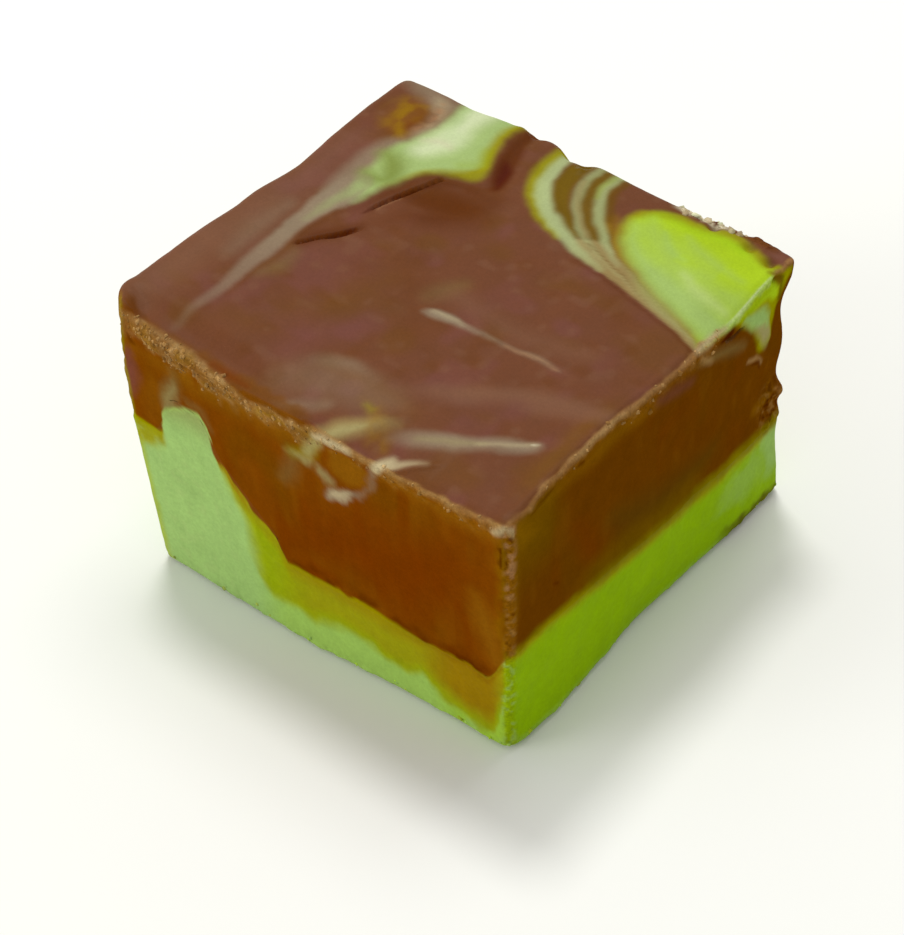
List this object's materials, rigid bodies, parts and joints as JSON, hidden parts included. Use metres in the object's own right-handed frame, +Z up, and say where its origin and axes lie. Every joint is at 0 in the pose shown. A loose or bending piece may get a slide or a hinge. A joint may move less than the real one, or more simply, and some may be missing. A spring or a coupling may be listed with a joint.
{
  "type": "chocolate fudge square",
  "caption": "Hand-cut square of soft fudge: a pale green mint layer under a marbled chocolate layer.",
  "frame": {"origin": "middle of the flat base", "axes": "+Z up through the layers, -Y and +X out of the two cut faces that show"},
  "size_m": [0.036, 0.034, 0.025],
  "materials": {
    "mint_fudge": "pale to vivid green mint fudge, dull, faintly greasy",
    "chocolate_fudge": "milk-brown chocolate fudge marbled with mint, satin on the poured top, crumbly at the cut edges"
  },
  "bodies": {
    "root": {"mint_layer": "mint_fudge", "chocolate_layer": "chocolate_fudge"}
  },
  "joints": []
}
